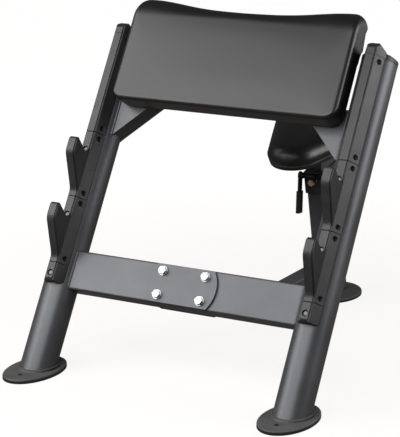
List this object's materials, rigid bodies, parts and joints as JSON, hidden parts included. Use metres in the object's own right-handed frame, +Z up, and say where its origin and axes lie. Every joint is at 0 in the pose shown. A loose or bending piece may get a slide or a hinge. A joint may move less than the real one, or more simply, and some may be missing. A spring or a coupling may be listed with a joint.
{
  "type": "preacher curl bench",
  "caption": "Preacher curl bench: leaning round uprights with bar rests, a sloping arm pad, and a tapered seat on a height-adjustable post.",
  "frame": {"origin": "on the floor, midway between the two uprights and midway between the toes of the front feet and the heel of the rear foot", "axes": "+X to the right seen from the bar side, +Y from the bar side towards the seat, +Z up"},
  "size_m": [0.829, 1.1733, 0.8745],
  "materials": {
    "frame_paint": "fine-textured gunmetal powder coat",
    "boot_rubber": "matt moulded",
    "rail_plastic": "fine moulded grain",
    "pad_vinyl": "black upholstery vinyl with a soft sheen",
    "board_plywood": "black stained",
    "fastener_zinc": "bright zinc plate",
    "screw_black": "black oxide",
    "plunger_brass": "yellow passivated",
    "grip_rubber": "dipped grip"
  },
  "bodies": {
    "frame": {"left_upright": "frame_paint", "right_upright": "frame_paint", "crossbeam": "frame_paint", "clamp_plate": "frame_paint", "spine_flange": "frame_paint", "spine_front_tube": "frame_paint", "spine_rear_tube": "frame_paint", "rear_post": "frame_paint", "pad_cross_tube": "frame_paint", "left_gusset": "frame_paint", "right_gusset": "frame_paint", "left_pad_strap": "frame_paint", "right_pad_strap": "frame_paint", "left_base_plate": "frame_paint", "right_base_plate": "frame_paint", "rear_base_plate": "frame_paint", "lever_bracket": "frame_paint", "left_foot_boot": "boot_rubber", "right_foot_boot": "boot_rubber", "rear_foot_boot": "boot_rubber", "left_rail_end_block": "rail_plastic", "left_lower_bar_rest": "rail_plastic", "left_upper_bar_rest": "rail_plastic", "left_rail_cover": "rail_plastic", "left_top_cap": "rail_plastic", "right_rail_end_block": "rail_plastic", "right_lower_bar_rest": "rail_plastic", "right_upper_bar_rest": "rail_plastic", "right_rail_cover": "rail_plastic", "right_top_cap": "rail_plastic", "post_collar": "rail_plastic", "arm_pad": "pad_vinyl", "pad_board": "board_plywood", "beam_bolts": "fastener_zinc", "beam_washers": "fastener_zinc", "beam_nuts": "fastener_zinc", "pad_bolts": "fastener_zinc", "rail_front_screws": "fastener_zinc", "return_spring": "fastener_zinc", "rail_side_screws": "screw_black", "plunger_bush": "plunger_brass"},
    "seat": {"seat_tube": "fastener_zinc", "stop_pin": "fastener_zinc", "seat_bracket": "frame_paint", "seat_board": "board_plywood", "seat_pad": "pad_vinyl", "seat_bolts": "fastener_zinc"},
    "lever": {"release_lever": "fastener_zinc", "lever_grip": "grip_rubber", "lever_shaft": "fastener_zinc", "release_fork": "fastener_zinc", "shaft_clip": "fastener_zinc"},
    "plunger": {"lock_plunger": "plunger_brass"}
  },
  "joints": [
    {"name": "seat_slide", "type": "slide", "parent": "frame", "child": "seat", "axis": [0, -0.2164, 0.9763], "range_m": [0, 0.15]},
    {"name": "lever_pivot", "type": "hinge", "parent": "frame", "child": "lever", "pos_m": [0, 0.3429, 0.36834], "axis": [-1, 0, 0], "range_deg": [0, 25], "stiffness_Nm_per_rad": 0.6, "springref_deg": -22.92},
    {"name": "plunger_slide", "type": "slide", "parent": "frame", "child": "plunger", "axis": [0, -0.9763, -0.2164], "range_m": [0, 0.0077]}
  ],
  "couplings": [
    {"joint": "plunger_slide", "follows": "lever_pivot", "m_per_rad": 0.01743}
  ]
}
